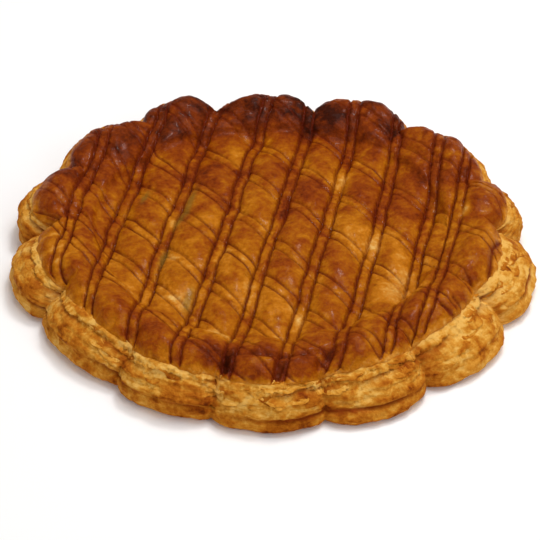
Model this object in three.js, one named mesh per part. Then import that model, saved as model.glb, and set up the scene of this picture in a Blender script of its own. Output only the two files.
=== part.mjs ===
// Galette des rois: a round puff-pastry cake with an almond filling, baked whole and not yet cut.
// Two pastry discs are pressed together round the filling, so the edge is scalloped into uneven lobes.
// The rim puffs up above the sunken middle, and a waist shows where the upper disc sits on the lower one.
// The top is scored right across in two directions, and the pastry rises as pillows between the cuts.
// Units are millimetres, +Z is up, and the origin is at the middle of the flat underside.

import * as THREE from "three";

// --- Driving dimensions -----------------------------------------------------------------------------

const MIDDLE_HEIGHT = 22.5; // top of the middle, over the filling
const GUTTER_HEIGHT = 18.5; // the dip between the middle and the rim
const CREST_HEIGHT = 29.5; // top of the puffed rim
const GLAZE_EDGE_HEIGHT = 21; // where the browned top turns into the pale side
const WAIST_HEIGHT = 8.6; // the crease between the two discs
const BULGE_HEIGHT = 4.5; // the widest part of the lower disc

const GUTTER_RADIUS = 80;
const CREST_RADIUS = 104;
const GLAZE_EDGE_RADIUS = 117;
const WAIST_RADIUS = 127;
const BULGE_RADIUS = 129.5;
const FOOT_RADIUS = 125; // edge of the flat underside

// The side of the half-section from the foot up, and its top inwards: distance from the centre and height.
const WALL_POINTS = [
  [FOOT_RADIUS, 0],
  [128.5, 1.5],
  [BULGE_RADIUS, BULGE_HEIGHT],
  [WAIST_RADIUS, WAIST_HEIGHT],
  [124, 14.6],
  [GLAZE_EDGE_RADIUS, GLAZE_EDGE_HEIGHT],
];
const TOP_POINTS = [
  [GLAZE_EDGE_RADIUS, GLAZE_EDGE_HEIGHT],
  [113, 26.5],
  [CREST_RADIUS, CREST_HEIGHT],
  [89, 23.5],
  [GUTTER_RADIUS, GUTTER_HEIGHT],
  [40, 21.5],
  [0, MIDDLE_HEIGHT],
];

const NOTCH_DROP = 4.5; // how far the rim sinks where two lobes meet
const NOTCH_DROP_START = 88; // the sinking begins here and is complete at NOTCH_DROP_END
const NOTCH_DROP_END = 110;
const REACH_START = 60; // inside this the cake is round, and outside it the lobes differ in reach
const NOTCH_START = 95; // the notches cut in from the glaze edge to here
const SHARP_START = 98; // inside this the lobes are soft, and towards the glaze edge they grow blunt
const LOBE_FULLNESS = 0.55; // below 1 the lobes are blunt with sharp notches between them
const INNER_FULLNESS = 2; // further in, the dips between lobes are soft

// The lobes, anticlockwise from the one at +X. Each starts at a notch, given by its angle in degrees and
// its distance from the centre at the glaze edge and at the bulge, and then come the lobe's own
// distances, how far its waist runs above WAIST_HEIGHT and how far it puffs above CREST_HEIGHT.
const LOBES = [
  { start: -1, notchEdge: 109, notchBulge: 120.5, edge: 119, bulge: 127, waist: 1, puff: 0 },
  { start: 17.5, notchEdge: 112, notchBulge: 118, edge: 119, bulge: 122.5, waist: 1, puff: 0.3 },
  { start: 48, notchEdge: 103, notchBulge: 117, edge: 117, bulge: 122.5, waist: 0, puff: 1 },
  { start: 76.5, notchEdge: 101, notchBulge: 114, edge: 111, bulge: 117, waist: 1, puff: 0.5 },
  { start: 106.5, notchEdge: 103, notchBulge: 115, edge: 118.5, bulge: 122, waist: 1, puff: 1 },
  { start: 129, notchEdge: 109, notchBulge: 117, edge: 121.5, bulge: 124, waist: 2, puff: 0.8 },
  { start: 157, notchEdge: 112, notchBulge: 118, edge: 121.5, bulge: 128, waist: 3, puff: 0.5 },
  { start: 181, notchEdge: 105, notchBulge: 121, edge: 116, bulge: 130, waist: 2, puff: -1.5 },
  { start: 206, notchEdge: 108, notchBulge: 119.5, edge: 112, bulge: 126, waist: 2, puff: -2 },
  { start: 235, notchEdge: 110, notchBulge: 122, edge: 116.5, bulge: 129, waist: 1, puff: -1 },
  { start: 257.5, notchEdge: 112, notchBulge: 124, edge: 119, bulge: 131, waist: -1, puff: -1 },
  { start: 281, notchEdge: 113, notchBulge: 124.5, edge: 115.5, bulge: 133, waist: -1, puff: 0 },
  { start: 305, notchEdge: 111, notchBulge: 121.5, edge: 112, bulge: 131.5, waist: 0, puff: 0.5 },
  { start: 332, notchEdge: 107, notchBulge: 122.5, edge: 114, bulge: 132, waist: 1, puff: -0.5 },
];

// The two sets of cuts: their heading in degrees from +X, their distances from the centre and their depth.
const LONG_CUTS = { heading: 78.7, offsets: [-98, -76, -49.5, -22.5, 2, 26, 51, 75, 91], depth: 2.8 };
const CROSS_CUTS = { heading: 130, offsets: [-90, -72, -51.5, -29, -8, 18, 42.5, 69, 97], depth: 1.6 };
const CUT_HALF_WIDTH = 7; // from the bottom of a cut to where the pillow beside it has risen
const CUT_END_RADIUS = 110; // the cuts fade out beyond this

// Mesh fineness
const SEGMENTS = 132;
const TOP_SPANS = 26;
const WALL_SPANS = 9;

// --- Form -------------------------------------------------------------------------------------------

const { clamp, degToRad, euclideanModulo, lerp, radToDeg, smoothstep } = THREE.MathUtils;

// The outline at an angle: its distance from the centre at the glaze edge and at the bulge, with the
// waist and puff there, and the roundness, which is 1 in the middle of a lobe and 0 in a notch.
function outlineAt(degrees, fullness) {
  const angle = euclideanModulo(degrees - LOBES[0].start, 360) + LOBES[0].start;
  const index = LOBES.findLastIndex((candidate) => candidate.start <= angle);
  const lobe = LOBES[index];
  const next = LOBES[(index + 1) % LOBES.length];
  const width = euclideanModulo(next.start - lobe.start, 360);
  const along = clamp((angle - lobe.start) / width, 0, 1);
  const roundness = Math.pow(4 * along * (1 - along), fullness);
  return {
    edge: lerp(lerp(lobe.notchEdge, next.notchEdge, along), lobe.edge, roundness),
    bulge: lerp(lerp(lobe.notchBulge, next.notchBulge, along), lobe.bulge, roundness),
    waist: lobe.waist * roundness,
    puff: lobe.puff * roundness,
    roundness,
  };
}

// The distance of the glaze edge with the notches evened out, from the middle of each lobe to the next.
function reachAt(degrees) {
  const middles = LOBES.map((lobe, i) => {
    const next = LOBES[(i + 1) % LOBES.length];
    return lobe.start + euclideanModulo(next.start - lobe.start, 360) / 2;
  });
  const angle = euclideanModulo(degrees - middles[0], 360) + middles[0];
  const index = middles.findLastIndex((middle) => middle <= angle);
  const following = (index + 1) % LOBES.length;
  const width = euclideanModulo(middles[following] - middles[index], 360);
  return lerp(LOBES[index].edge, LOBES[following].edge, (angle - middles[index]) / width);
}

// How far a set of cuts sinks the top below its pillows at a point.
function cutDepth(cuts, point) {
  const heading = degToRad(cuts.heading);
  const offset = point.x * Math.sin(heading) - point.y * Math.cos(heading);
  const nearest = Math.min(...cuts.offsets.map((line) => Math.abs(offset - line)));
  return cuts.depth * (1 - smoothstep(nearest, 0, CUT_HALF_WIDTH));
}

// Scallops and scores the top: the outline fades out towards the middle, and the cuts fade out at the rim.
function shapeTop(point, radius, degrees) {
  const inner = outlineAt(degrees, INNER_FULLNESS);
  const outer = outlineAt(degrees, LOBE_FULLNESS);
  const reach = reachAt(degrees);
  const outward = smoothstep(radius, SHARP_START, GLAZE_EDGE_RADIUS);
  const spread = (reach / GLAZE_EDGE_RADIUS - 1) * smoothstep(radius, REACH_START, GLAZE_EDGE_RADIUS);
  const notching = (outer.edge - reach) / GLAZE_EDGE_RADIUS;
  const scale = 1 + spread + notching * smoothstep(radius, NOTCH_START, GLAZE_EDGE_RADIUS);
  const atRim = smoothstep(radius, GUTTER_RADIUS, CREST_RADIUS);
  const drop = NOTCH_DROP * (1 - lerp(inner.roundness, outer.roundness, outward));
  const rimRise = atRim * lerp(inner.puff, outer.puff, outward);
  const rimDrop = smoothstep(radius, NOTCH_DROP_START, NOTCH_DROP_END) * drop;
  point.set(point.x * scale, point.y * scale, point.z + rimRise - rimDrop);
  const cuts = cutDepth(LONG_CUTS, point) + cutDepth(CROSS_CUTS, point);
  point.z -= cuts * (1 - smoothstep(radius, CUT_END_RADIUS, GLAZE_EDGE_RADIUS));
}

// Scallops the wall: the outline changes from the bulge's to the glaze edge's on the way up.
function shapeWall(point, degrees) {
  const outline = outlineAt(degrees, LOBE_FULLNESS);
  const upWall = clamp((point.z - BULGE_HEIGHT) / (GLAZE_EDGE_HEIGHT - BULGE_HEIGHT), 0, 1);
  const scale = lerp(outline.bulge / BULGE_RADIUS, outline.edge / GLAZE_EDGE_RADIUS, upWall);
  const aboveWaist = smoothstep(point.z, WAIST_HEIGHT, GLAZE_EDGE_HEIGHT);
  const nearWaist = smoothstep(point.z, 0, WAIST_HEIGHT) - aboveWaist;
  const drop = (NOTCH_DROP * (1 - outline.roundness) * point.z) / GLAZE_EDGE_HEIGHT;
  point.set(point.x * scale, point.y * scale, point.z + outline.waist * nearWaist - drop);
}

// The half-section of a plain lobe, from the centre of the underside out to the bulge and up to the centre.
function halfSection() {
  const wall = new THREE.SplineCurve(WALL_POINTS.map((pair) => new THREE.Vector2(...pair)));
  const top = new THREE.SplineCurve(TOP_POINTS.map((pair) => new THREE.Vector2(...pair)));
  return [
    new THREE.Vector2(0, 0),
    new THREE.Vector2(FOOT_RADIUS / 2, 0),
    ...wall.getSpacedPoints(WALL_SPANS),
    ...top.getSpacedPoints(TOP_SPANS).slice(1),
  ];
}

// The whole cake: the half-section turned about the axis, shaped point by point and centred on its box.
function galetteGeometry() {
  const geometry = new THREE.LatheGeometry(halfSection(), SEGMENTS);
  geometry.rotateX(Math.PI / 2);
  const position = geometry.getAttribute("position");
  const point = new THREE.Vector3();
  for (let i = 0; i < position.count; i += 1) {
    point.fromBufferAttribute(position, i);
    const radius = Math.hypot(point.x, point.y);
    const degrees = radToDeg(Math.atan2(point.y, point.x));
    if (point.z >= GLAZE_EDGE_HEIGHT || (point.z > WAIST_HEIGHT && radius < CREST_RADIUS)) {
      shapeTop(point, radius, degrees);
    } else {
      shapeWall(point, degrees);
    }
    position.setXYZ(i, point.x, point.y, point.z);
  }
  geometry.computeBoundingBox();
  const centre = geometry.boundingBox.getCenter(new THREE.Vector3());
  geometry.translate(-centre.x, -centre.y, 0);
  geometry.computeVertexNormals();
  return geometry;
}

const bakedPastry = new THREE.MeshStandardMaterial({ color: 0xb06a1c, roughness: 0.5, metalness: 0 });

const galette = new THREE.Mesh(galetteGeometry(), bakedPastry);
galette.name = "galette";

const part = new THREE.Group();
part.add(galette);

export default part;
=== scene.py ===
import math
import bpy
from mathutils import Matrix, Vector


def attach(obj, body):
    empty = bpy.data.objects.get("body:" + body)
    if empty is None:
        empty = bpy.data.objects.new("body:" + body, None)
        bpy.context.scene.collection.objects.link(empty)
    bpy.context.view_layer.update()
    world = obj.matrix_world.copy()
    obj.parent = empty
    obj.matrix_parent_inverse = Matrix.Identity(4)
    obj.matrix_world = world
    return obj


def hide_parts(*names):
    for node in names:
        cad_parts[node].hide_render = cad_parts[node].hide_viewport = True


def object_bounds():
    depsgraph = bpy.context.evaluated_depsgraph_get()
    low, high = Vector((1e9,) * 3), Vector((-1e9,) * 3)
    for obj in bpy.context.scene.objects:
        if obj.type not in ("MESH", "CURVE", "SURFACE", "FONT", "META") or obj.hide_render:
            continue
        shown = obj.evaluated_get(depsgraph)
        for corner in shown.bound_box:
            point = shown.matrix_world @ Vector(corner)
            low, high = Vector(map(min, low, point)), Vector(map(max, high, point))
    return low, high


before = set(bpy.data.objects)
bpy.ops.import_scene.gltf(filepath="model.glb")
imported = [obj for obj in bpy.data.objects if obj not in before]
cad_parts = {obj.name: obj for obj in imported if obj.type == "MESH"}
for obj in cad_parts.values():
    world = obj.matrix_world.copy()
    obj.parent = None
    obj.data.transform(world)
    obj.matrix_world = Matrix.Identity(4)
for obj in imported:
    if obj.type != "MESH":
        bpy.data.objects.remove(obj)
cad_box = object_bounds()

# Galette des rois: a whole puff-pastry cake, egg-washed and scored on top, flaky at the sides.
# Lengths in this script are millimetres in the cake's own frame until a mesh is finished.

from types import SimpleNamespace

import bmesh
import bpy
import numpy as np
from mathutils import Matrix, Vector, kdtree, noise

MM = 0.001
SEED = 6

# --- The form ---------------------------------------------------------------------------------------

CREST_HEIGHT = 29.3  # top of the puffed rim
MIDDLE_HEIGHT = 22.5  # top of the pillows in the middle
GUTTER_HEIGHT = 18.5  # the dip between the middle and the rim
GLAZE_EDGE_HEIGHT = 21.0  # where the browned top turns into the pale side
WAIST_HEIGHT = 8.6  # the crease between the two discs
BULGE_HEIGHT = 4.5  # the widest part of the lower disc

GUTTER_RADIUS = 80.0
CREST_RADIUS = 104.0
GLAZE_EDGE_RADIUS = 117.0
WAIST_RADIUS = 127.0
BULGE_RADIUS = 129.5
FOOT_RADIUS = 125.0
SIDE_RADIUS = 124.0  # where the patterns of the side are laid out round the cake

NOTCH_DROP = 4.5  # how far the rim sinks where two lobes meet
LOBE_FULLNESS = 0.55  # how square-shouldered a lobe is at its edge
INNER_FULLNESS = 2.0  # and further in, where the dips between lobes are soft

# Lobes anticlockwise from the one at +X: start angle, distance of that notch at the glaze edge and at the
# bulge, then the lobe's own distance at both, its waist above the usual, its puff above the crest, how
# brown its top has baked, and how much browner than usual its side is.
START, NOTCH_EDGE, NOTCH_BULGE, EDGE, BULGE, WAIST, PUFF, TONE, SIDE_TONE = range(9)
LOBES = np.array([
    (-1, 109, 120.5, 119, 127, 1, 0, 0.54, 0),
    (17.5, 112, 118, 119, 122.5, 1, 0.3, 0.62, 0),
    (48, 103, 117, 117, 122.5, 0, 1, 0.79, 0),
    (76.5, 101, 114, 111, 117, 1, 0.5, 0.83, 0.05),
    (106.5, 103, 115, 118.5, 122, 1, 1, 0.84, 0),
    (129, 109, 117, 121.5, 124, 2, 0.8, 0.76, 0),
    (157, 112, 118, 121.5, 128, 3, 0.5, 0.64, -0.08),
    (181, 105, 121, 116, 130, 2, -1.5, 0.44, -0.22),
    (206, 108, 119.5, 112, 126, 2, -2, 0.46, 0),
    (235, 110, 122, 116.5, 129, 1, -1, 0.58, 0.02),
    (257.5, 112, 124, 119, 131, -1, -1, 0.62, 0.06),
    (281, 113, 124.5, 115.5, 133, -1, 0, 0.48, 0.13),
    (305, 111, 121.5, 112, 131.5, 0, 0.5, 0.46, -0.14),
    (332, 107, 122.5, 114, 132, 1, -0.5, 0.42, -0.25),
])

# The scoring: pairs of knife cuts, straight in the raw dough, by their distances from the centre.
LONG_HEADING = 78.7
LONG_PAIRS = [-98, -76, -49.5, -22.5, 2, 26, 51, 75, 91]
CROSS_HEADING = 130.0
CROSS_PAIRS = [-90, -72, -51.5, -29, -8, 18, 42.5, 69, 97]
OUTERMOST = 124.0  # the pillows beyond the last pairs end here
# How high the dough rises between the pairs, in the middle and at the rim.
LONG_PUFF = (3.4, 2.3)
CROSS_PUFF = (1.4, 0.8)
HALF_GAP = 2.6  # half the space between the two cuts of a pair
LONG_CUT = (1.1, 1.3)  # half width and depth of one long cut
CROSS_CUT = (0.9, 0.6)
CUT_LIP = (0.12, 0.5, 0.6)  # the lip beside a cut: height as a share of its depth, distance and width
RIBBON_CROWN = 0.12  # how high the strip between two cuts is crowned
PILLOW_SHOULDER = 2.4  # above 2 the pillows are flatter on top and steeper beside the cuts


def smooth(value, low, high):
    """0 below low and 1 above high, with a smooth step between."""
    t = np.clip((value - low) / (high - low), 0, 1)
    return t * t * (3 - 2 * t)


def mix(a, b, t):
    return a + (b - a) * t


def bell(distance, width):
    """1 at no distance, falling away smoothly over a width."""
    return np.exp(-((distance / width) ** 2))


def spline(points, count):
    """A smooth curve through points, sampled evenly along its length, and the lengths."""
    points = np.array(points, float)
    padded = np.vstack([2 * points[0] - points[1], points, 2 * points[-1] - points[-2]])
    t = np.linspace(0, 1, 24, endpoint=False)[:, None]
    dense = []
    for a, b, c, d in zip(padded, padded[1:], padded[2:], padded[3:]):
        bend, twist = 2 * a - 5 * b + 4 * c - d, 3 * b - a - 3 * c + d
        dense.append(0.5 * (2 * b + (c - a) * t + bend * t**2 + twist * t**3))
    dense = np.vstack([*dense, points[-1:]])
    length = np.concatenate([[0], np.cumsum(np.hypot(*np.diff(dense, axis=0).T))])
    even = np.linspace(0, length[-1], count)
    sampled = [np.interp(even, length, dense[:, axis]) for axis in (0, 1)]
    return np.column_stack(sampled), even


def outline(degrees, fullness=LOBE_FULLNESS):
    """The lobes at some angles: distances, waist, puff, browning, and roundness (0 in a notch)."""
    start = np.append(LOBES[:, START], LOBES[0, START] + 360)
    angle = (degrees - start[0]) % 360 + start[0]
    index = np.clip(np.searchsorted(start, angle, side="right") - 1, 0, len(LOBES) - 1)
    along = np.clip((angle - start[index]) / (start[index + 1] - start[index]), 0, 1)
    lobe, following = LOBES[index], LOBES[(index + 1) % len(LOBES)]
    rounded = (4 * along * (1 - along)) ** fullness
    notch_tone = 0.5 * (lobe[:, TONE] + following[:, TONE])
    return SimpleNamespace(
        edge=mix(mix(lobe[:, NOTCH_EDGE], following[:, NOTCH_EDGE], along), lobe[:, EDGE], rounded),
        bulge=mix(mix(lobe[:, NOTCH_BULGE], following[:, NOTCH_BULGE], along), lobe[:, BULGE], rounded),
        waist=lobe[:, WAIST] * rounded,
        puff=lobe[:, PUFF] * rounded,
        rounded=rounded,
        tone=mix(notch_tone, lobe[:, TONE], np.minimum(1, 2 * rounded)),
    )


def between_lobes(degrees, column):
    """One column of the lobes' table, changing evenly from the middle of each lobe to the next."""
    centre = 0.5 * (LOBES[:, START] + np.append(LOBES[1:, START], LOBES[0, START] + 360))
    return np.interp(degrees, centre, LOBES[:, column], period=360)


def lumps(points, size, seed, octaves):
    """Smooth noise about 0, roughly -1 to 1, with lumps of a size in millimetres."""
    scale = 1.0 / size
    out = []
    for x, y, z in points:
        p = Vector((x * scale + seed, y * scale - seed, z * scale + 0.5 * seed))
        value = noise.noise(p)
        if octaves > 1:
            value += 0.5 * noise.noise(p * 2.1)
        if octaves > 2:
            value += 0.25 * noise.noise(p * 4.3)
        out.append(value)
    return np.array(out)


def along_and_across(x, y, heading):
    """Distances along a heading in degrees, and across it to the right."""
    turn = math.radians(heading)
    return x * math.cos(turn) + y * math.sin(turn), x * math.sin(turn) - y * math.cos(turn)


def cut_field(x, y, heading, pairs, cut):
    """One set of cuts in the raw dough.

    It gives the height at each place, how far inside a cut it is, the pillow's shape and number, and the
    distance from the middle of the nearest pair.
    """
    _, across = along_and_across(x, y, heading)
    lines = np.array([-OUTERMOST, *pairs, OUTERMOST])
    index = np.clip(np.searchsorted(lines, across) - 1, 0, len(lines) - 2)
    left, right = lines[index], lines[index + 1]
    share = np.clip((across - left - HALF_GAP) / (right - left - 2 * HALF_GAP), 0, 1)
    pillow = 1 - np.abs(2 * share - 1) ** PILLOW_SHOULDER
    nearest = np.min(np.abs(across[:, None] - lines[None, 1:-1]), axis=1)
    from_cut = np.abs(nearest - HALF_GAP)
    half, depth = cut
    inside = np.clip(1 - from_cut / half, 0, 1)
    lip_share, lip_distance, lip_width = CUT_LIP
    lip = lip_share * depth * bell(from_cut - half - lip_distance, lip_width)
    ribbon = RIBBON_CROWN * np.clip(1 - (nearest / HALF_GAP) ** 2, 0, 1)
    height = lip + ribbon - depth * inside
    return SimpleNamespace(height=height, inside=inside, pillow=pillow, index=index, nearest=nearest)


# --- Meshes and attributes --------------------------------------------------------------------------


def finish_mesh(bm, name, attributes, material):
    """Turns a bmesh in millimetres into a piece in metres that rides on the cake."""
    mesh = bpy.data.meshes.new(name)
    bm.to_mesh(mesh)
    bm.free()
    mesh.transform(Matrix.Scale(MM, 4))
    for key, values in attributes.items():
        layer = mesh.attributes.new(key, "FLOAT", "POINT")
        layer.data.foreach_set("value", np.asarray(values, np.float32))
    mesh.shade_smooth()
    mesh.materials.append(material)
    piece = bpy.data.objects.new(name, mesh)
    bpy.context.collection.objects.link(piece)
    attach(piece, "root")
    return piece


def coordinates(bm):
    return np.array([v.co[:] for v in bm.verts])


def move(bm, points):
    for v, co in zip(bm.verts, points):
        v.co = co


def turn_about_axis(points, steps, merge_distance):
    """A surface of revolution about the cake's axis, from the points of its half-section."""
    bm = bmesh.new()
    verts = [bm.verts.new((r, 0, z)) for r, z in points]
    edges = [bm.edges.new(pair) for pair in zip(verts, verts[1:])]
    bmesh.ops.spin(
        bm, geom=[*verts, *edges], cent=(0, 0, 0), axis=(0, 0, 1), angle=2 * math.pi, steps=steps,
        use_merge=True)
    bmesh.ops.remove_doubles(bm, verts=bm.verts, dist=merge_distance)
    bmesh.ops.recalc_face_normals(bm, faces=bm.faces)
    return bm


# --- Materials --------------------------------------------------------------------------------------


def linear(hex_colour):
    """An sRGB hex colour as linear red, green, blue and alpha."""
    channels = [int(hex_colour[i:i + 2], 16) / 255 for i in (1, 3, 5)]
    return [*(c / 12.92 if c <= 0.04045 else ((c + 0.055) / 1.055) ** 2.4 for c in channels), 1.0]


def add(tree, kind, settings=None, **inputs):
    """One node, with its settings, and each input set to a value or linked from a node or its output.

    An input is named, or i and its number where several have the same name.
    """
    node = tree.nodes.new(kind)
    for key, value in (settings or {}).items():
        if key == "stops":
            ramp = node.color_ramp
            while len(ramp.elements) < len(value):
                ramp.elements.new(0.5)
            for element, (position, colour) in zip(ramp.elements, value):
                element.position = position
                element.color = linear(colour)
        else:
            setattr(node, key, value)
    for key, value in inputs.items():
        numbered = key[0] == "i" and key[1:].isdigit()
        socket = node.inputs[int(key[1:]) if numbered else key.replace("_", " ")]
        if isinstance(value, bpy.types.Node):
            value = value.outputs[0]
        if isinstance(value, bpy.types.NodeSocket):
            tree.links.new(value, socket)
        else:
            socket.default_value = value
    return node


def new_material(name):
    material = bpy.data.materials.new(name)
    material.use_nodes = True
    tree = material.node_tree
    shader = tree.nodes["Principled BSDF"]
    return material, tree, shader


def glazed_crust():
    """Egg-washed puff pastry, baked brown: a faint gloss, mottled brown, fine wrinkles and blisters."""
    material, tree, shader = new_material("egg_washed_baked_crust")
    place = add(tree, "ShaderNodeTexCoord").outputs["Object"]
    brown = add(tree, "ShaderNodeAttribute", {"attribute_name": "brown"}).outputs["Fac"]
    cut = add(tree, "ShaderNodeAttribute", {"attribute_name": "cut"}).outputs["Fac"]
    grey = add(tree, "ShaderNodeAttribute", {"attribute_name": "grey"}).outputs["Fac"]
    # Patches of 7 mm, mottling of 2 mm and specks of 0.7 mm, as wash pools and dries on the dough.
    patches = add(
        tree, "ShaderNodeTexNoise", {}, Vector=place, Scale=1 / (7 * MM), Detail=3.0, Roughness=0.55,
        Distortion=0.5)
    mottle = add(
        tree, "ShaderNodeTexNoise", {}, Vector=place, Scale=1 / (2 * MM), Detail=4.0, Roughness=0.6,
        Distortion=0.4)
    tone = add(
        tree, "ShaderNodeMath", {"operation": "MULTIPLY_ADD"}, i0=patches.outputs["Fac"], i1=0.55, i2=brown)
    tone = add(
        tree, "ShaderNodeMath", {"operation": "MULTIPLY_ADD"}, i0=mottle.outputs["Fac"], i1=0.42, i2=tone)
    # Thin pale lines, some 4 mm apart, on the ridges of the wrinkles: partly pale stretch marks where the
    # skin has pulled as it rose, partly a painted highlight on the ridges.
    stretch = add(
        tree, "ShaderNodeTexNoise", {}, Vector=place, Scale=1 / (5 * MM), Detail=3.0, Roughness=0.55,
        Distortion=1.4)
    ridge = add(tree, "ShaderNodeMath", {"operation": "SUBTRACT"}, i0=stretch.outputs["Fac"], i1=0.5)
    ridge = add(tree, "ShaderNodeMath", {"operation": "ABSOLUTE"}, i0=ridge)
    ridge = add(tree, "ShaderNodeMapRange", {}, Value=ridge, i1=0.0, i2=0.018, i3=1.0, i4=0.0)
    stretch_marks_and_painted_highlight = add(
        tree, "ShaderNodeMapRange", {}, Value=patches.outputs["Fac"], i1=0.5, i2=0.62, i3=0.0, i4=1.0)
    stretch_marks_and_painted_highlight = add(tree, "ShaderNodeMath", {"operation": "MULTIPLY"}, i0=ridge, i1=stretch_marks_and_painted_highlight)
    tone = add(tree, "ShaderNodeMath", {"operation": "MULTIPLY_ADD"}, i0=stretch_marks_and_painted_highlight, i1=-0.14, i2=tone)
    tone = add(tree, "ShaderNodeMath", {"operation": "SUBTRACT", "use_clamp": True}, i0=tone, i1=0.485)
    ramp = add(tree, "ShaderNodeValToRGB", {"stops": [
        (0.0, "#e2b062"), (0.12, "#d28f38"), (0.24, "#c47616"), (0.36, "#b16605"), (0.48, "#a05203"),
        (0.60, "#8e3e02"), (0.72, "#7a2e01"), (0.84, "#642301"), (0.92, "#521a01"), (1.0, "#3a1001"),
    ]}, i0=tone)
    # In a cut the wash gathers and bakes to a dark red-brown.
    groove = add(tree, "ShaderNodeMath", {"operation": "MULTIPLY", "use_clamp": True}, i0=cut, i1=0.95)
    dark = add(tree, "ShaderNodeMix", {"data_type": "RGBA"}, i0=groove, i6=ramp, i7=linear("#641c04"))
    fat = add(
        tree, "ShaderNodeMix", {"data_type": "RGBA"}, i0=grey, i6=dark.outputs[2], i7=linear("#7d6222"))
    tree.links.new(fat.outputs[2], shader.inputs["Base Color"])
    rough = add(
        tree, "ShaderNodeMapRange", {}, Value=mottle.outputs["Fac"], i1=0.3, i2=0.7, i3=0.36, i4=0.55)
    rough = add(tree, "ShaderNodeMath", {"operation": "MULTIPLY_ADD"}, i0=cut, i1=0.2, i2=rough)
    tree.links.new(rough.outputs[0], shader.inputs["Roughness"])
    shader.inputs["IOR"].default_value = 1.45
    shader.inputs["Specular IOR Level"].default_value = 0.05
    shader.inputs["Coat Weight"].default_value = 0.06
    shader.inputs["Coat Roughness"].default_value = 0.1
    # Wrinkles 1.3 mm apart and blisters of 3 mm, a tenth of a millimetre or two high.
    wrinkle = add(
        tree, "ShaderNodeTexNoise", {}, Vector=place, Scale=1 / (1.3 * MM), Detail=5.0, Roughness=0.6,
        Distortion=0.8)
    blister = add(
        tree, "ShaderNodeTexVoronoi", {"feature": "SMOOTH_F1"}, Vector=place, Scale=1 / (3.2 * MM))
    relief = add(
        tree, "ShaderNodeMath", {"operation": "MULTIPLY_ADD"}, i0=blister.outputs["Distance"], i1=-0.35,
        i2=wrinkle.outputs["Fac"])
    relief = add(tree, "ShaderNodeMath", {"operation": "MULTIPLY_ADD"}, i0=stretch_marks_and_painted_highlight, i1=0.2, i2=relief)
    bump = add(tree, "ShaderNodeBump", {}, Strength=0.9, Distance=0.85 * MM, Height=relief)
    tree.links.new(bump.outputs[0], shader.inputs["Normal"])
    return material


def flaky_side():
    """Unglazed puff pastry seen from its edge: matt, pale gold layers with browner skin, and painted shade
    that darkens its pits and creases.
    """
    material, tree, shader = new_material("baked_flaky_layers")
    place = add(tree, "ShaderNodeTexCoord").outputs["Object"]
    brown = add(tree, "ShaderNodeAttribute", {"attribute_name": "brown"}).outputs["Fac"]
    painted_crease_shade = add(tree, "ShaderNodeAttribute", {"attribute_name": "cut"}).outputs["Fac"]
    strips = add(tree, "ShaderNodeUVMap", {"uv_map": "layers"}).outputs["UV"]
    # Layer edges about 0.8 mm thick that run on for some 4 mm before they tear.
    stretched = add(tree, "ShaderNodeMapping", {}, Vector=strips, Scale=(1 / 3.5, 1 / 0.8, 1.0))
    layer = add(
        tree, "ShaderNodeTexNoise", {}, Vector=stretched, Scale=1.0, Detail=4.0, Roughness=0.6,
        Distortion=1.2)
    patches = add(
        tree, "ShaderNodeTexNoise", {}, Vector=place, Scale=1 / (8 * MM), Detail=4.0, Roughness=0.6,
        Distortion=0.6)
    crumb = add(
        tree, "ShaderNodeTexNoise", {}, Vector=place, Scale=1 / (1.1 * MM), Detail=4.0, Roughness=0.65,
        Distortion=0.5)
    tone = add(
        tree, "ShaderNodeMath", {"operation": "MULTIPLY_ADD"}, i0=layer.outputs["Fac"], i1=0.42, i2=brown)
    tone = add(
        tree, "ShaderNodeMath", {"operation": "MULTIPLY_ADD"}, i0=patches.outputs["Fac"], i1=1.4, i2=tone)
    tone = add(
        tree, "ShaderNodeMath", {"operation": "MULTIPLY_ADD"}, i0=crumb.outputs["Fac"], i1=0.44, i2=tone)
    tone = add(tree, "ShaderNodeMath", {"operation": "SUBTRACT", "use_clamp": True}, i0=tone, i1=1.12)
    ramp = add(tree, "ShaderNodeValToRGB", {"stops": [
        (0.0, "#eab45a"), (0.18, "#db9b3c"), (0.36, "#ca8326"), (0.54, "#b86b17"),
        (0.70, "#a2560d"), (0.85, "#823c06"), (1.0, "#5a2303"),
    ]}, i0=tone)
    # Painted shade: the creases, pits and notches of the side are mixed towards a dark red-brown.
    dark = add(tree, "ShaderNodeMix", {"data_type": "RGBA"}, i0=painted_crease_shade, i6=ramp, i7=linear("#85320a"))
    tree.links.new(dark.outputs[2], shader.inputs["Base Color"])
    shader.inputs["Roughness"].default_value = 0.66
    shader.inputs["Specular IOR Level"].default_value = 0.06
    shader.inputs["IOR"].default_value = 1.4
    relief = add(
        tree, "ShaderNodeMath", {"operation": "MULTIPLY_ADD"}, i0=crumb.outputs["Fac"], i1=0.9,
        i2=layer.outputs["Fac"])
    bump = add(tree, "ShaderNodeBump", {}, Strength=0.8, Distance=0.6 * MM, Height=relief)
    tree.links.new(bump.outputs[0], shader.inputs["Normal"])
    return material


# --- The glazed top ---------------------------------------------------------------------------------

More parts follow.
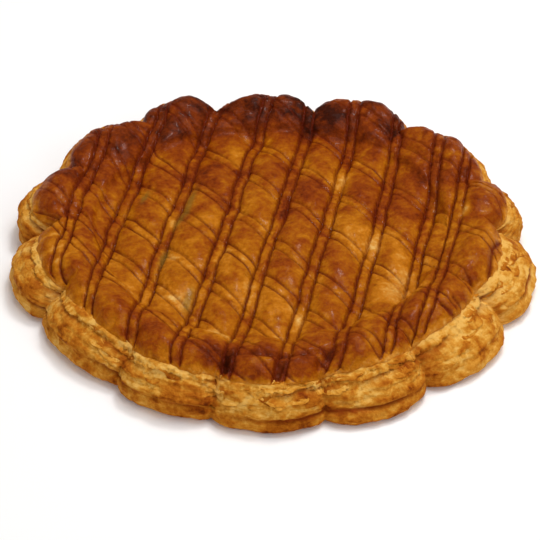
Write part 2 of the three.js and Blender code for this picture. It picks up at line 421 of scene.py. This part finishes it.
# Half-section of the top over the pillows: from the middle out, over the rim, tucked in behind the side.
TOP_SECTION = [
    (0, MIDDLE_HEIGHT), (40, MIDDLE_HEIGHT - 1), (GUTTER_RADIUS, GUTTER_HEIGHT), (89, CREST_HEIGHT - 6),
    (CREST_RADIUS, CREST_HEIGHT), (113, CREST_HEIGHT - 3), (GLAZE_EDGE_RADIUS, GLAZE_EDGE_HEIGHT),
    (115, GLAZE_EDGE_HEIGHT - 4), (111, GLAZE_EDGE_HEIGHT - 6),
]
TOP_SAMPLES = 400
CELL = 1.15  # spacing of the sheet's mesh
SHEET_RADIUS = 131.0  # the raw sheet reaches behind the side
CUT_SNAP = 0.02  # a vertex this close to a cut is taken to lie on it
DEEPEST_FOLD = 4.0
SHORT_CUT = (1.5, 1.1)  # half width and depth of a short extra cut
CUT_DARKENING = 0.55  # below 1 the dark of a cut spreads up its walls

# Splits where the strip between two cuts has torn open and shows pale: place, length and width.
SPLITS = [
    (36, 38, 11, 3.8), (49, -15, 8, 3.4), (13, -68, 7, 2.6), (-49, 2, 5, 2.2), (96, 6, 5, 2.2),
    (57, -50, 12, 8),
]
# Stripes where the wash has run thin over the lobe at the left: place, length, width and heading.
STRIPES = [(-108, -8, 8, 1.3, 12), (-107, -17, 9, 1.4, 18), (-104, -27, 8, 1.3, 24), (-101, -35, 6, 1.2, 30)]
# Short extra cuts at the right of the rim, drawn through points.
SHORT_CUTS = [
    [(103, -44), (106, -27), (111, -17)],
    [(78, -71), (84, -75), (87, -83)],
    [(84, -66), (90, -71), (93, -78)],
]
# Deep folds in the front of the rim: place, length, width, heading and depth.
FOLDS = [
    (-21.5, -112, 6, 2.2, 80, 3.6), (3.5, -113.5, 5.5, 2.4, 78, 3.6), (25.5, -109, 6, 2.2, 70, 3.2),
    (3, -105.5, 21, 1.9, 0, 3.0),
]
# Places that have baked darker or stayed lighter than the rest: place, length, width and how much.
TONES = [
    (38, 62, 14, 11, 0.18), (20, 84, 14, 12, 0.14), (-36, 66, 11, 7, 0.16), (78, 40, 12, 8, 0.16),
    (6, 10, 9, 6, 0.16), (52, 11, 13, 10, 0.18), (66, -14, 12, 10, 0.13), (-22, -24, 20, 9, 0.13),
    (30, -47, 9, 8, 0.15), (-20, -104, 10, 7, 0.16), (-22, 35, 10, 8, -0.14), (-31, 2, 9, 7, -0.12),
    (-60, 10, 16, 14, -0.08), (-2, 50, 9, 7, -0.1),
]
# Strips where fat has pooled and dried dull: place, length and width.
POOLS = [(-41, 17, 10, 1.6), (-46, 4, 6, 1.4), (-52, -24, 6, 1.6), (-39, -56, 7, 1.6), (-64, 24, 5, 1.3)]


def scored_sheet():
    """The raw upper sheet, flat and round, with an edge in the mesh along every cut."""
    bm = bmesh.new()
    cells = int(2 * SHEET_RADIUS / CELL)
    bmesh.ops.create_grid(bm, x_segments=cells, y_segments=cells, size=SHEET_RADIUS)
    outside = [v for v in bm.verts if v.co.length > SHEET_RADIUS]
    bmesh.ops.delete(bm, geom=outside, context="VERTS")
    scoring = ((LONG_HEADING, LONG_PAIRS, LONG_CUT), (CROSS_HEADING, CROSS_PAIRS, CROSS_CUT))
    for heading, pairs, (half, _) in scoring:
        turn = math.radians(heading)
        normal = Vector((math.sin(turn), -math.cos(turn), 0))
        for pair in pairs:
            for side in (-HALF_GAP, HALF_GAP):
                for offset in (-half, 0, half):
                    bmesh.ops.bisect_plane(
                        bm, geom=[*bm.verts, *bm.edges, *bm.faces], dist=CUT_SNAP,
                        plane_co=normal * (pair + side + offset), plane_no=normal)
    return bm


def blob(x, y, cx, cy, length, width, heading=LONG_HEADING):
    """1 at a spot, falling away smoothly over a length that lies along a heading and a width."""
    along, across = along_and_across(x - cx, y - cy, heading)
    return np.exp(-((along / length) ** 2) - (across / width) ** 2)


def from_stroke(x, y, points):
    """Distance from a line drawn through points."""
    nearest = np.full(len(x), 1e3)
    for (ax, ay), (bx, by) in zip(points, points[1:]):
        dx, dy = bx - ax, by - ay
        t = np.clip(((x - ax) * dx + (y - ay) * dy) / (dx**2 + dy**2), 0, 1)
        nearest = np.minimum(nearest, np.hypot(x - ax - t * dx, y - ay - t * dy))
    return nearest


def shape_top(bm):
    """Bends the scored sheet over the rim, puffs and wrinkles it, and says how brown each spot is."""
    flat = coordinates(bm)
    x, y = flat[:, 0], flat[:, 1]
    spread = np.hypot(x, y)
    section, length = spline(TOP_SECTION, TOP_SAMPLES)
    radius = np.interp(spread, length, section[:, 0])
    height = np.interp(spread, length, section[:, 1])
    glaze_edge = length[np.argmax(section[:, 0])]
    angle = np.degrees(np.arctan2(y, x))
    lobe, inner = outline(angle), outline(angle, INNER_FULLNESS)
    outer = smooth(spread, CREST_RADIUS - 4, glaze_edge - 2)
    puff, rounded = mix(inner.puff, lobe.puff, outer), mix(inner.rounded, lobe.rounded, outer)
    reach = between_lobes(angle, EDGE)

    at_rim = smooth(spread, GUTTER_RADIUS - 2, CREST_RADIUS)
    past_edge = smooth(spread, glaze_edge - 2, glaze_edge + 1)
    long = cut_field(x, y, LONG_HEADING, LONG_PAIRS, LONG_CUT)
    cross = cut_field(x, y, CROSS_HEADING, CROSS_PAIRS, CROSS_CUT)
    # The long cuts were made last, so the other set shows less on the strips inside their pairs.
    off_strip = 0.3 + 0.7 * smooth(long.nearest, HALF_GAP - 1.2, HALF_GAP + 0.8)
    cross_height, cross_inside = cross.height * off_strip, cross.inside * off_strip

    # Each pillow has its own share of the full puff in both directions, and its own browning.
    cell = long.index * 37 + cross.index * 101
    drawn = np.random.RandomState(SEED).rand(3, cell.max() + 1)
    long_share, cross_share, cell_tone = drawn[:, cell]
    fade = 1 - smooth(spread, glaze_edge - 7, glaze_edge + 1)
    rise = mix(*LONG_PUFF, at_rim) * fade * (long.pillow * (0.72 + 0.28 * long_share) - 1)
    rise += mix(*CROSS_PUFF, at_rim) * fade * (cross.pillow * (0.8 + 0.2 * cross_share) - 1)

    # Lumps of 22, 8 and 3 mm.
    on_sheet = np.column_stack([x, y, 0 * x])
    coarse = lumps(on_sheet, 22, 3.1, 2)
    medium = lumps(on_sheet, 8, 7.7, 2)
    fine = lumps(on_sheet, 3.1, 11.3, 2)
    puff_lumps = mix(0.35, 0.9, at_rim) * medium + mix(0.24, 0.28, at_rim) * fine + 0.5 * coarse
    # The skin puckers beside the cuts, in short wrinkles square to them.
    along, across = along_and_across(x, y, LONG_HEADING)
    wrinkles = lumps(np.column_stack([along, 0.28 * across, 0 * x]), 2.6, 43.0, 2)
    beside = (1 - long.pillow) * (1 - 0.6 * past_edge) + 0.5 * (1 - cross.pillow)
    pucker = wrinkles * np.clip(beside, 0, 1) * smooth(lumps(on_sheet, 17, 47.0, 1), -0.25, 0.3)

    folds = sum(depth * blob(x, y, *spot) for *spot, depth in FOLDS)
    cuts = (long.height + cross_height) * (1 - smooth(spread, glaze_edge - 5, glaze_edge))
    inside_edge = 1 - smooth(spread, glaze_edge - 11, glaze_edge - 2)
    z = height + rise + (puff_lumps + 0.5 * pucker) * (1 - past_edge)
    z = z - np.minimum(folds, DEEPEST_FOLD) * inside_edge + cuts
    z += at_rim * puff - NOTCH_DROP * (1 - rounded) * smooth(spread, GUTTER_RADIUS + 10, CREST_RADIUS + 8)

    # The lobes draw the sheet in at the notches, and baking bends the straight cuts a little.
    drawn_in = smooth(radius, GUTTER_RADIUS - 20, GLAZE_EDGE_RADIUS - 4)
    drawn_in_edge = smooth(radius, CREST_RADIUS - 9, GLAZE_EDGE_RADIUS - 0.5)
    scale = 1 + (reach / GLAZE_EDGE_RADIUS - 1) * drawn_in
    scale += (lobe.edge - reach) / GLAZE_EDGE_RADIUS * drawn_in_edge
    bend_x = (1.3 * lumps(on_sheet, 26, 21.0, 2) + 0.5 * lumps(on_sheet, 9, 22.0, 1)) * (1 - past_edge)
    bend_y = 1.3 * lumps(on_sheet, 26, 35.0, 2) * (1 - past_edge)
    ratio = radius / np.maximum(spread, 1e-6) * scale
    # The glazed edge itself waves in and out by a millimetre.
    edge_wave = lumps(on_sheet, 5, 50.0, 2) * smooth(spread, glaze_edge - 8, glaze_edge)
    edge_wave *= 1 - smooth(spread, glaze_edge + 1, glaze_edge + 4)
    out = 1 + edge_wave / np.maximum(spread, 1)
    px, py = x * ratio * out + bend_x, y * ratio * out + bend_y

    half, depth = SHORT_CUT
    strokes = [np.clip(1 - from_stroke(px, py, points) / half, 0, 1) for points in SHORT_CUTS]
    short_cut = sum(strokes) * (1 - past_edge)
    z -= depth * short_cut

    # How brown each spot has baked: the rim most, then the tops of the pillows; hollows stay golden. The
    # crests of the puckers are lightened, partly as a painted highlight.
    towards_back = np.sin(np.radians(angle))
    rim_start = GUTTER_RADIUS + 5 - 9 * towards_back
    brown = mix(0.42, lobe.tone, smooth(spread, rim_start, rim_start + 16 + 6 * towards_back))
    brown += 0.13 * (long.pillow * cross.pillow - 0.5) * (1 - 0.5 * at_rim)
    brown += 0.20 * (cell_tone - 0.5) * (1 - 0.5 * at_rim)
    brown += 0.13 * coarse + 0.13 * medium + 0.07 * fine
    brown += 0.07 * bell(long.nearest - HALF_GAP, 2) + 0.04 * bell(cross.nearest - HALF_GAP, 2)
    brown += 0.08 * (1 - smooth(long.nearest, HALF_GAP - 1.0, HALF_GAP + 0.5)) * (1 - at_rim)
    brown += 0.09 * blob(px, py, 8, 22, 45, 36) + (0.13 * smooth(py, -25, 45) - 0.05) * (1 - at_rim)
    # Paler on the crests of the puckered wrinkles: partly stretched skin, partly a painted highlight.
    brown -= 0.14 * np.clip(pucker + 0.1, 0, 1)
    brown += sum(tone * blob(px, py, *spot) for *spot, tone in TONES)
    brown += 0.30 * np.clip(folds / 3, 0, 1)
    brown += 0.08 * at_rim * (1 - rounded) ** 1.5 * (1 - past_edge)
    # The wash ends in a ragged line just inside the edge.
    ragged = glaze_edge - 1.0 + 1.5 * medium + 1.8 * fine + 1.6 * coarse
    brown = mix(brown, 0.20, smooth(spread, ragged - 5.5, ragged + 1.2))
    pale = np.clip(sum(blob(px, py, *split) for split in SPLITS), 0, 1)
    brown = mix(brown, 0.06, 0.9 * pale)
    brown -= 0.22 * np.clip(sum(blob(px, py, *stripe) for stripe in STRIPES), 0, 1)
    grey = np.clip(sum(blob(px, py, *pool) for pool in POOLS), 0, 0.6)
    long_dark = 0.9 + 0.25 * lumps(on_sheet, 15, 63.0, 1)
    cross_dark = np.clip(0.65 + 0.5 * lumps(on_sheet, 18, 67.0, 2), 0.2, 1)
    cut = np.maximum(long_dark * long.inside**CUT_DARKENING, cross_dark * cross_inside**CUT_DARKENING)
    cut = np.clip(cut, 0, 1) * (1 - 0.7 * pale) * (1 - smooth(spread, glaze_edge - 4, glaze_edge))
    cut = np.maximum(cut, np.clip(1.2 * short_cut, 0, 1))
    move(bm, np.column_stack([px, py, z]))
    return {"brown": np.clip(brown, 0, 1), "cut": cut, "grey": grey}


# --- The side and the underside ---------------------------------------------------------------------

SIDE_STEPS = 1200  # steps round the cake, two thirds of a millimetre each
SIDE_SAMPLES = 64
# Half-section of the side, from behind the glazed edge down to inside the foot.
SIDE_SECTION = [
    (111, GLAZE_EDGE_HEIGHT - 2.8), (114.5, GLAZE_EDGE_HEIGHT - 1.2), (116.8, GLAZE_EDGE_HEIGHT - 0.9),
    (119.8, GLAZE_EDGE_HEIGHT - 2.3), (124.2, WAIST_HEIGHT + 6), (127.6, WAIST_HEIGHT + 2),
    (WAIST_RADIUS, WAIST_HEIGHT), (WAIST_RADIUS + 1.4, WAIST_HEIGHT - 1.4),
    (BULGE_RADIUS - 0.4, BULGE_HEIGHT + 1), (BULGE_RADIUS, BULGE_HEIGHT - 1.0), (BULGE_RADIUS - 1.6, 1.2),
    (FOOT_RADIUS, 0.15), (FOOT_RADIUS - 8, 0.1),
]
INSIDE_FOOT = 118.0  # the section's points within this radius lie under the cake or behind its top
FURTHEST_PUSH = 1.3  # how far a flake or lump may stand out
FRONT, LEFT = math.radians(285), math.radians(200)  # where the side is torn most, and creased most

FLAKES = 150
FLAKE_LEVELS = (7.5, 15.5)  # how far down the section a flake hangs on

UNDERSIDE_RADIUS = FOOT_RADIUS - 5
UNDERSIDE_RINGS, UNDERSIDE_STEPS = 40, 256


def shape_side(bm, section, length):
    """Gives the turned side its lobes, torn layers and creases, says how brown each spot is, and where shade
    is painted into its creases, pits and notches.
    """
    turned = coordinates(bm)
    radius = np.hypot(turned[:, 0], turned[:, 1])
    angle = np.arctan2(turned[:, 1], turned[:, 0])
    height = turned[:, 2]
    lobe = outline(np.degrees(angle))
    # How far down the section a point lies, in millimetres from its upper end.
    gap = (section[None, :, 0] - radius[:, None]) ** 2 + (section[None, :, 1] - height[:, None]) ** 2
    down = length[np.argmin(gap, axis=1)]
    from_waist_height = np.abs(section[:, 1] - WAIST_HEIGHT)
    top_down = length[np.argmax(section[:, 1])]
    waist_down = length[np.argmin(np.where(section[:, 0] < INSIDE_FOOT, np.inf, from_waist_height))]
    end_down = length[-1]

    up_wall = np.clip((height - BULGE_HEIGHT) / (GLAZE_EDGE_HEIGHT - BULGE_HEIGHT), 0, 1)
    scale = mix(lobe.bulge / BULGE_RADIUS, lobe.edge / GLAZE_EDGE_RADIUS, up_wall)
    near_waist = smooth(height, 0, WAIST_HEIGHT) - smooth(height, WAIST_HEIGHT, GLAZE_EDGE_HEIGHT)
    drop = NOTCH_DROP * (1 - lobe.rounded) * height / GLAZE_EDGE_HEIGHT
    z = height + lobe.waist * near_waist - drop
    x, y = radius * scale * np.cos(angle), radius * scale * np.sin(angle)

    def wrapped(distance, stretch):
        """Places on a drum, for patterns that run round the side: smaller distances draw them out."""
        return np.column_stack([distance * np.cos(angle), distance * np.sin(angle), stretch * down])

    on_side = wrapped(SIDE_RADIUS, 1)
    showing = smooth(down, top_down - 1, top_down + 1.5) * (1 - smooth(down, end_down - 11, end_down - 8))
    upper = 1 - smooth(down, waist_down - 1.5, waist_down + 1.0)
    mostly_upper = mix(0.2, 1.0, upper)

    # The skin of the side is whole in some places and torn off in others, where the layers inside show.
    lumpy = lumps(on_side, 13, 4.0, 3)
    crumb = lumps(on_side, 2.0, 6.0, 3)
    frayed = lumps(wrapped(SIDE_RADIUS, 0.35), 1.8, 81.0, 2)
    wander = 2.4 * lumps(on_side, 24, 2.0, 2) + 1.1 * lumps(on_side, 7, 3.0, 2)
    # Ledges 1.9 mm apart that come out slowly and drop back fast.
    ledge = ((down + wander) / 1.9) % 1
    ledge = np.where(ledge < 0.75, ledge / 0.75, (1 - ledge) / 0.25)
    wrinkles = lumps(wrapped(36, 1.2), 3.0, 23.0, 3)
    peeling = mix(0.35, 1.0, smooth(np.cos(angle - FRONT), 0.3, 0.8))
    torn = smooth(lumps(wrapped(60, 1.5), 8, 9.0, 3), -0.15, 0.12) * mostly_upper * peeling
    near_notch = (1 - lobe.rounded) ** 1.3
    pitted = np.clip(1.5 * near_notch + 0.25 * torn - 0.2, 0, 1)
    pits = smooth(lumps(wrapped(SIDE_RADIUS, 2.2), 3.4, 13.0, 2), 0.22, 0.6) * pitted * mostly_upper
    # A crease comes and goes along the waist.
    from_waist = down - waist_down - 1.2 * lumps(on_side, 26, 73.0, 1)
    crease_here = smooth(lumps(on_side, 34, 71.0, 2), -0.25, 0.3)
    crease = crease_here * bell(from_waist, 1.1)
    lip = bell(down - top_down - 4, 4.0)
    # A second, shorter crease higher up, which runs right along the lobes at the left.
    shelf_down = top_down + 6.5 + 1.8 * lumps(on_side, 22, 91.0, 2)
    shelf_here = smooth(lumps(on_side, 30, 95.0, 1), 0.0, 0.3) + smooth(np.cos(angle - LEFT), 0.7, 0.9)
    shelf_here = np.minimum(shelf_here, 1)
    shelf = shelf_here * bell(down - shelf_down, 1.2)
    below_shelf = shelf_here * smooth(down, shelf_down, shelf_down + 3) * upper

    push = 1.2 * lumpy + 0.8 * wrinkles + 0.45 * crumb * mix(0.4, 1.0, torn)
    push = push + 0.8 * frayed * lip + 0.9 * below_shelf - 1.5 * shelf
    push += torn * (0.7 * ledge - 0.9)
    push += 0.9 * (1 - crease_here) * bell(from_waist, 1.6) - 0.5 * crease
    push -= 1.5 * pits + 0.8 * near_notch * upper
    push = np.minimum(showing * push, FURTHEST_PUSH)
    x += push * np.cos(angle)
    y += push * np.sin(angle)
    sag = showing * (0.7 * lumps(on_side, 14, 30.0, 2) + 0.4 * wrinkles) * smooth(height, 2, 6)
    z = np.maximum(z + sag, 0.0)
    move(bm, np.column_stack([x, y, z]))

    skin = 0.50 + 0.20 * lumpy + 0.20 * wrinkles
    inside = 0.22 - 0.16 * (ledge - 0.5) + 0.12 * lumpy
    brown = mix(skin, inside, torn) + 0.18 * crumb
    brown -= 0.04 * (1 - upper) + 0.20 * bell(down - top_down, 4.0) + 0.20 * frayed * lip
    brown += 0.30 * smooth(down, end_down - 10.5, end_down - 7)
    brown += between_lobes(np.degrees(angle), SIDE_TONE) - 0.06 * upper + 0.12 * below_shelf
    # Painted shade in the creases, the pits and beside the notches, carried in the cut attribute.
    cut = np.clip(0.9 * crease + 0.45 * shelf + 0.6 * pits + 0.2 * near_notch * upper, 0, 1)
    return {"brown": np.clip(brown, 0, 1), "cut": cut}, angle * SIDE_RADIUS, down


def lay_out_layers(mesh, around, down):
    """A UV map in millimetres: along the side and down it."""
    layer = mesh.uv_layers.new(name="layers")
    index = np.empty(len(mesh.loops), np.int32)
    mesh.loops.foreach_get("vertex_index", index)
    uv = np.column_stack([around[index], down[index]])
    # A face with corners more than 200 mm apart crosses the seam, and takes the far end's numbers.
    starts = np.array([p.loop_start for p in mesh.polygons])
    for start in starts[np.abs(uv[starts, 0] - uv[starts + 2, 0]) > 200]:
        for i in range(start, start + 4):
            if uv[i, 0] < 0:
                uv[i, 0] += 2 * math.pi * SIDE_RADIUS
    layer.data.foreach_set("uv", uv.astype(np.float32).ravel())


def loose_flakes(side_points, around, down):
    """Thin torn flakes that peel off the side: each a small bent sheet that hangs on by its upper edge."""
    rng = np.random.RandomState(SEED)
    tree = kdtree.KDTree(len(around))
    for i, (a, d) in enumerate(zip(around, down)):
        tree.insert((a, d, 0), i)
    tree.balance()
    bm = bmesh.new()
    brown, along_side, down_side = [], [], []
    for _ in range(FLAKES):
        centre = rng.uniform(-math.pi, math.pi) * SIDE_RADIUS
        level = rng.uniform(*FLAKE_LEVELS)
        wide, tall = rng.uniform(2.5, 7.5), rng.uniform(0.9, 2.2)
        lift, slant, shade = rng.uniform(0.3, 1.0), rng.uniform(-0.15, 0.15), rng.uniform(0.05, 0.5)
        wave = rng.uniform(0, 6)
        made = bmesh.ops.create_grid(bm, x_segments=7, y_segments=2, size=1.0)["verts"]
        for v in made:
            # u runs along the flake from -1 to 1, and w from 0 at its upper edge to 1 at its torn one.
            u, w = v.co.x, 0.5 - 0.5 * v.co.y
            tapered = tall * (1 - 0.75 * u * u) * (1 + 0.25 * math.sin(3 * u + wave))
            a = centre + u * wide
            d = level + slant * u * wide + w * tapered
            nearest = side_points[tree.find((a, d, 0))[1]]
            outward = Vector((nearest[0], nearest[1], 0)).normalized()
            lifted = outward * (w * w * lift * (1 - 0.5 * u * u) + 0.05)
            v.co = Vector(nearest) + lifted - Vector((0, 0, 0.1 * w))
            brown.append(shade + 0.2 * w + 0.1 * math.sin(2 * u + wave))
            along_side.append(a)
            down_side.append(d)
    attributes = {"brown": np.clip(brown, 0, 1), "cut": np.zeros(len(brown))}
    return bm, attributes, np.array(along_side), np.array(down_side)


def underside():
    """The flat underside: a thin disc inside the foot, baked brown and dry."""
    radii = np.linspace(0, UNDERSIDE_RADIUS, UNDERSIDE_RINGS)
    bm = turn_about_axis([(r, 0.0) for r in radii], UNDERSIDE_STEPS, 0.01)
    if bm.faces[0].normal.z > 0:
        bmesh.ops.reverse_faces(bm, faces=bm.faces)
    turned = coordinates(bm)
    radius = np.hypot(turned[:, 0], turned[:, 1])
    angle = np.degrees(np.arctan2(turned[:, 1], turned[:, 0]))
    scale = 1 + (outline(angle).bulge / BULGE_RADIUS - 1) * smooth(radius, 60, 120)
    dimples = smooth(lumps(turned, 9, 60.0, 2), 0.15, 0.6)
    z = 0.05 + 0.5 * dimples * (1 - smooth(radius, 100, 118))
    move(bm, np.column_stack([turned[:, 0] * scale, turned[:, 1] * scale, z]))
    brown = 0.48 + 0.13 * lumps(turned, 24, 62.0, 3) - 0.12 * dimples - 0.1 * smooth(radius, 104, 119)
    return bm, {"brown": np.clip(brown, 0, 1), "cut": 0 * brown, "grey": 0 * brown}


# --- Assembly ---------------------------------------------------------------------------------------

crust_material = glazed_crust()
side_material = flaky_side()

sheet = scored_sheet()
top_attributes = shape_top(sheet)
side_section, side_length = spline(SIDE_SECTION, SIDE_SAMPLES)
side_mesh = turn_about_axis(side_section, SIDE_STEPS, 0.001)
side_attributes, around, down = shape_side(side_mesh, side_section, side_length)
side_points = coordinates(side_mesh)

top = finish_mesh(sheet, "glazed_top", top_attributes, crust_material)
side = finish_mesh(side_mesh, "flaky_side", side_attributes, side_material)
lay_out_layers(side.data, around, down)
flake_mesh, flake_attributes, flake_around, flake_down = loose_flakes(side_points, around, down)
flakes = finish_mesh(flake_mesh, "loose_flakes", flake_attributes, side_material)
lay_out_layers(flakes.data, flake_around, flake_down)
base_mesh, base_attributes = underside()
base = finish_mesh(base_mesh, "underside", base_attributes, crust_material)
pieces = [top, side, flakes, base]

# The lobes were laid out from the middle of the rim, so the pieces move to the middle of the cake's box.
corners = np.array([c[:] for piece in pieces for c in piece.bound_box])
low, high = corners.min(axis=0), corners.max(axis=0)
cad_low, cad_high = np.array(cad_box[0]), np.array(cad_box[1])
shift = (cad_low + cad_high) / 2 - (low + high) / 2
for piece in pieces:
    piece.data.transform(Matrix.Translation((shift[0], shift[1], 0)))
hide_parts("galette")

# --- Floor, light and camera: from here on in metres ------------------------------------------------

floor_mesh = bmesh.new()
bmesh.ops.create_grid(floor_mesh, x_segments=1, y_segments=1, size=4.0)
floor_data = bpy.data.meshes.new("floor")
floor_mesh.to_mesh(floor_data)
floor_mesh.free()
floor = bpy.data.objects.new("floor", floor_data)
bpy.context.collection.objects.link(floor)
floor_material, _, floor_shader = new_material("matt_white_paper")
floor_shader.inputs["Base Color"].default_value = linear("#fbfafa")
floor_shader.inputs["Roughness"].default_value = 0.9
floor_data.materials.append(floor_material)

world = bpy.data.worlds.new("studio")
bpy.context.scene.world = world
world.use_nodes = True
background = world.node_tree.nodes["Background"]
background.inputs["Color"].default_value = (1.0, 0.96, 0.92, 1)
background.inputs["Strength"].default_value = 0.28


def softbox(name, place, size, power):
    """A white area light aimed at the cake, with its width and height in metres and power in watts."""
    data = bpy.data.lights.new(name, "AREA")
    data.shape = "RECTANGLE"
    data.size, data.size_y = size
    data.energy = power
    lamp = bpy.data.objects.new(name, data)
    bpy.context.collection.objects.link(lamp)
    lamp.location = place
    lamp.rotation_euler = (-Vector(place)).to_track_quat("-Z", "Y").to_euler()


softbox("overhead_softbox", (0.25, 0.2, 1.1), (1.0, 0.8), 8.2)
softbox("front_right_softbox", (0.8, -0.9, 0.8), (0.8, 0.8), 4.5)
softbox("front_left_softbox", (-0.9, -0.8, 0.8), (0.8, 0.8), 2.5)
softbox("small_key_lamp", (0.25, 0.45, 1.05), (0.2, 0.2), 3.0)

CAMERA_DISTANCE = 0.9
CAMERA_ELEVATION = math.radians(38)
CAMERA_SHIFT = (-0.00278, -0.02963)  # moves the cake in the frame, as a share of the frame's width
camera_data = bpy.data.cameras.new("camera")
camera_data.lens = 120
camera_data.sensor_width = 36
camera_data.shift_x, camera_data.shift_y = CAMERA_SHIFT
camera = bpy.data.objects.new("camera", camera_data)
bpy.context.collection.objects.link(camera)
back = Vector((0, -math.cos(CAMERA_ELEVATION), math.sin(CAMERA_ELEVATION)))
camera.location = Vector((shift[0], shift[1], 0)) + back * CAMERA_DISTANCE
camera.rotation_euler = back.to_track_quat("Z", "Y").to_euler()
bpy.context.scene.camera = camera
bpy.context.scene.view_settings.view_transform = "Standard"
